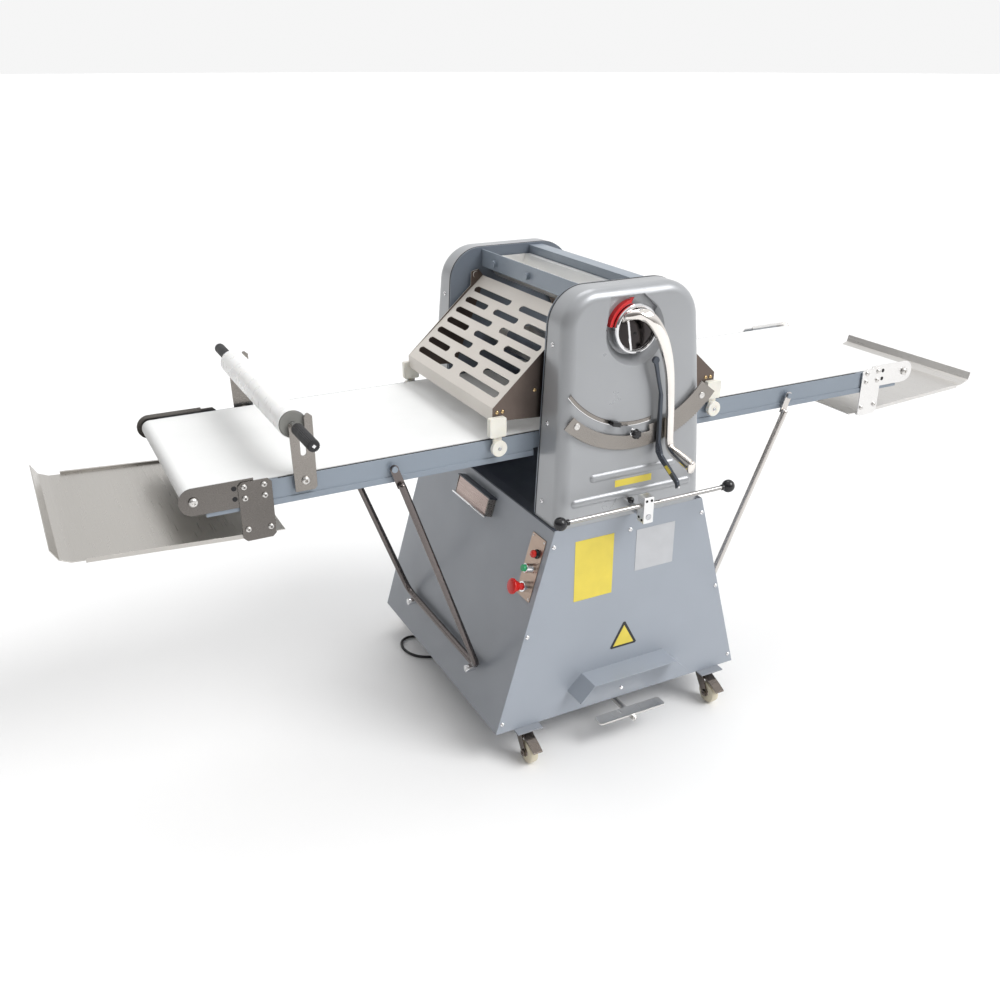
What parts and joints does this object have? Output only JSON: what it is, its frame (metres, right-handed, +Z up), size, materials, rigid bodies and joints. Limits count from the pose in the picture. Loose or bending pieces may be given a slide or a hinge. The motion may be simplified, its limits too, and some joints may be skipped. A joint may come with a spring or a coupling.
{
  "type": "dough sheeter",
  "caption": "Floor-standing reversible dough sheeter: a roller tower on a wheeled base between two folding belt tables, with guards, gap crank, lever and pedal.",
  "frame": {"origin": "on the floor under the middle of the machine's outline, without its mains lead", "axes": "+X to the right along the belts, +Y from the operator's crank side to the rear, +Z up"},
  "size_m": [2.6486, 1.0734, 1.206],
  "materials": {
    "panel_paint": "satin light blue-grey paint",
    "side_paint": "satin grey paint",
    "cover_silver": "satin metallic silver",
    "rail_grey": "satin blue-grey paint",
    "dark_plate": "dark blue-grey paint",
    "stainless": "brushed",
    "chrome": "polished",
    "motor_alloy": "cast",
    "bearing_iron": "machined",
    "belt_white": "matt food belt",
    "nylon": "matt",
    "black_plastic": "gloss",
    "lever_steel": "bright",
    "black_cord": "matt",
    "green_plastic": "gloss",
    "red_plastic": "gloss",
    "zinc": "blue zinc plate",
    "wheel_cream": "matt"
  },
  "bodies": {
    "base": {"base_shell": "side_paint", "base_deck": "dark_plate", "front_panel": "panel_paint", "rear_panel": "panel_paint", "side_plates": "dark_plate", "front_cover": "cover_silver", "rear_cover": "cover_silver", "cross_beams": "dark_plate", "drive_unit": "motor_alloy", "toothed_sector": "stainless", "control_plate": "stainless", "tool_pocket": "stainless", "screws": "stainless", "cord_gland": "black_plastic", "power_cord": "black_cord", "cord_coil": "black_cord", "plug": "black_plastic"},
    "lower_roller": {"lower_roller": "chrome"},
    "upper_carriage": {"bearing_blocks": "bearing_iron", "scrapers": "stainless"},
    "upper_roller": {"upper_roller": "chrome"},
    "flour_tray": {"flour_tray": "stainless"},
    "crank": {"crank_handle": "chrome"},
    "crank_trigger": {"crank_trigger": "lever_steel"},
    "stop_knob": {"stop_knob": "black_plastic"},
    "lever": {"control_lever": "lever_steel"},
    "pedal": {"pedal": "stainless"},
    "start_button": {"start_button": "green_plastic"},
    "stop_button": {"stop_button": "red_plastic"},
    "left_table": {"left_table_frame": "rail_grey", "left_belt": "belt_white", "left_end_plates": "stainless", "left_tray": "stainless", "pin_brackets": "stainless"},
    "right_table": {"right_table_frame": "rail_grey", "right_belt": "belt_white", "right_end_plates": "stainless", "right_tray": "stainless"},
    "pin_rod": {"pin_rod": "chrome"},
    "pin_tube": {"pin_tube": "nylon"},
    "left_drive_roller": {"left_drive_roller": "chrome"},
    "left_end_roller": {"left_end_roller": "chrome"},
    "left_strut": {"left_strut": "stainless"},
    "left_guard": {"left_guard": "stainless", "left_guard_feet": "nylon"},
    "right_drive_roller": {"right_drive_roller": "chrome"},
    "right_end_roller": {"right_end_roller": "chrome"},
    "right_strut": {"right_strut": "stainless"},
    "right_guard": {"right_guard": "stainless", "right_guard_feet": "nylon"},
    "fork_front_left": {"fork_front_left": "zinc"},
    "wheel_front_left": {"wheel_front_left": "wheel_cream"},
    "brake_front_left": {"brake_front_left": "zinc"},
    "fork_front_right": {"fork_front_right": "zinc"},
    "wheel_front_right": {"wheel_front_right": "wheel_cream"},
    "brake_front_right": {"brake_front_right": "zinc"},
    "fork_rear_left": {"fork_rear_left": "zinc"},
    "wheel_rear_left": {"wheel_rear_left": "wheel_cream"},
    "fork_rear_right": {"fork_rear_right": "zinc"},
    "wheel_rear_right": {"wheel_rear_right": "wheel_cream"}
  },
  "joints": [
    {"name": "lower_roller_spin", "type": "hinge", "parent": "base", "child": "lower_roller", "pos_m": [0, 0.03, 0.815], "axis": [0, 1, 0], "continuous": true},
    {"name": "crank_turn", "type": "hinge", "parent": "base", "child": "crank", "pos_m": [0, -0.32, 1.108], "axis": [0, -1, 0], "range_deg": [-8, 33]},
    {"name": "carriage_lift", "type": "slide", "parent": "base", "child": "upper_carriage", "axis": [0, 0, 1], "range_m": [-0.021, 0.007]},
    {"name": "upper_roller_spin", "type": "hinge", "parent": "upper_carriage", "child": "upper_roller", "pos_m": [0, 0.03, 0.923], "axis": [0, 1, 0], "continuous": true},
    {"name": "trigger_squeeze", "type": "hinge", "parent": "crank", "child": "crank_trigger", "pos_m": [0.04, -0.356, 1.035], "axis": [0, -1, 0], "range_deg": [0, 2], "stiffness_Nm_per_rad": 20},
    {"name": "stop_knob_slide", "type": "hinge", "parent": "base", "child": "stop_knob", "pos_m": [0, -0.353, 1.108], "axis": [0, -1, 0], "range_deg": [-38, 0]},
    {"name": "lever_swing", "type": "hinge", "parent": "base", "child": "lever", "pos_m": [0, -0.4, 0.664], "axis": [0, 1, 0], "range_deg": [-12, 12]},
    {"name": "pedal_swing", "type": "hinge", "parent": "base", "child": "pedal", "pos_m": [0, -0.37, 0.07], "axis": [0, 1, 0], "range_deg": [-12, 12]},
    {"name": "flour_tray_lift", "type": "slide", "parent": "base", "child": "flour_tray", "axis": [0, 0, 1], "range_m": [0, 0.15]},
    {"name": "start_press", "type": "slide", "parent": "base", "child": "start_button", "axis": [0.9591, 0, -0.2832], "range_m": [0, 0.003], "stiffness_N_per_m": 800},
    {"name": "stop_press", "type": "slide", "parent": "base", "child": "stop_button", "axis": [0.9591, 0, -0.2832], "range_m": [0, 0.005], "stiffness_N_per_m": 900},
    {"name": "pin_lift", "type": "slide", "parent": "left_table", "child": "pin_rod", "axis": [0, 0, 1], "range_m": [0, 0.06]},
    {"name": "pin_spin", "type": "hinge", "parent": "pin_rod", "child": "pin_tube", "pos_m": [-0.803, 0.03, 0.975], "axis": [0, 1, 0], "continuous": true},
    {"name": "left_table_fold", "type": "hinge", "parent": "base", "child": "left_table", "pos_m": [-0.085, 0.03, 0.8375], "axis": [0, 1, 0], "range_deg": [0, 60]},
    {"name": "left_drive_roller_spin", "type": "hinge", "parent": "base", "child": "left_drive_roller", "pos_m": [-0.085, 0.03, 0.8375], "axis": [0, 1, 0], "continuous": true},
    {"name": "left_end_roller_spin", "type": "hinge", "parent": "left_table", "child": "left_end_roller", "pos_m": [-1.027, 0.03, 0.8375], "axis": [0, 1, 0], "continuous": true},
    {"name": "left_strut_swing", "type": "hinge", "parent": "left_table", "child": "left_strut", "pos_m": [-0.5815, 0.03, 0.8326], "axis": [0, 1, 0], "range_deg": [-42, 0]},
    {"name": "left_guard_swing", "type": "hinge", "parent": "base", "child": "left_guard", "pos_m": [-0.117, 0.03, 1.135], "axis": [0, 1, 0], "range_deg": [0, 131]},
    {"name": "right_table_fold", "type": "hinge", "parent": "base", "child": "right_table", "pos_m": [0.085, 0.03, 0.8375], "axis": [0, -1, 0], "range_deg": [0, 60]},
    {"name": "right_drive_roller_spin", "type": "hinge", "parent": "base", "child": "right_drive_roller", "pos_m": [0.085, 0.03, 0.8375], "axis": [0, 1, 0], "continuous": true},
    {"name": "right_end_roller_spin", "type": "hinge", "parent": "right_table", "child": "right_end_roller", "pos_m": [1.027, 0.03, 0.8375], "axis": [0, 1, 0], "continuous": true},
    {"name": "right_strut_swing", "type": "hinge", "parent": "right_table", "child": "right_strut", "pos_m": [0.5815, 0.03, 0.8326], "axis": [0, -1, 0], "range_deg": [-42, 0]},
    {"name": "right_guard_swing", "type": "hinge", "parent": "base", "child": "right_guard", "pos_m": [0.117, 0.03, 1.135], "axis": [0, -1, 0], "range_deg": [0, 131]},
    {"name": "swivel_front_left", "type": "hinge", "parent": "base", "child": "fork_front_left", "pos_m": [-0.292, -0.332, 0.09], "axis": [0, 0, 1], "continuous": true},
    {"name": "roll_front_left", "type": "hinge", "parent": "fork_front_left", "child": "wheel_front_left", "pos_m": [-0.292, -0.367, 0.031], "axis": [1, 0, 0], "continuous": true},
    {"name": "brake_lift_front_left", "type": "hinge", "parent": "fork_front_left", "child": "brake_front_left", "pos_m": [-0.292, -0.352, 0.076], "axis": [-1, 0, 0], "range_deg": [0, 12]},
    {"name": "swivel_front_right", "type": "hinge", "parent": "base", "child": "fork_front_right", "pos_m": [0.292, -0.332, 0.09], "axis": [0, 0, 1], "continuous": true},
    {"name": "roll_front_right", "type": "hinge", "parent": "fork_front_right", "child": "wheel_front_right", "pos_m": [0.292, -0.367, 0.031], "axis": [1, 0, 0], "continuous": true},
    {"name": "brake_lift_front_right", "type": "hinge", "parent": "fork_front_right", "child": "brake_front_right", "pos_m": [0.292, -0.352, 0.076], "axis": [-1, 0, 0], "range_deg": [0, 12]},
    {"name": "swivel_rear_left", "type": "hinge", "parent": "base", "child": "fork_rear_left", "pos_m": [-0.292, 0.392, 0.09], "axis": [0, 0, 1], "continuous": true},
    {"name": "roll_rear_left", "type": "hinge", "parent": "fork_rear_left", "child": "wheel_rear_left", "pos_m": [-0.292, 0.427, 0.031], "axis": [1, 0, 0], "continuous": true},
    {"name": "swivel_rear_right", "type": "hinge", "parent": "base", "child": "fork_rear_right", "pos_m": [0.292, 0.392, 0.09], "axis": [0, 0, 1], "continuous": true},
    {"name": "roll_rear_right", "type": "hinge", "parent": "fork_rear_right", "child": "wheel_rear_right", "pos_m": [0.292, 0.427, 0.031], "axis": [1, 0, 0], "continuous": true}
  ],
  "couplings": [
    {"joint": "carriage_lift", "follows": "crank_turn", "m_per_rad": -0.033},
    {"joint": "upper_roller_spin", "follows": "lower_roller_spin", "ratio": -1},
    {"joint": "pedal_swing", "follows": "lever_swing", "ratio": 1},
    {"joint": "left_drive_roller_spin", "follows": "lower_roller_spin", "ratio": 2.2564},
    {"joint": "left_end_roller_spin", "follows": "lower_roller_spin", "ratio": 2.2564},
    {"joint": "left_strut_swing", "follows": "left_table_fold", "ratio": -0.687},
    {"joint": "left_guard_swing", "follows": "left_table_fold", "ratio": 2.1667},
    {"joint": "right_drive_roller_spin", "follows": "lower_roller_spin", "ratio": 2.2564},
    {"joint": "right_end_roller_spin", "follows": "lower_roller_spin", "ratio": 2.2564},
    {"joint": "right_strut_swing", "follows": "right_table_fold", "ratio": -0.687},
    {"joint": "right_guard_swing", "follows": "right_table_fold", "ratio": 2.1667}
  ]
}
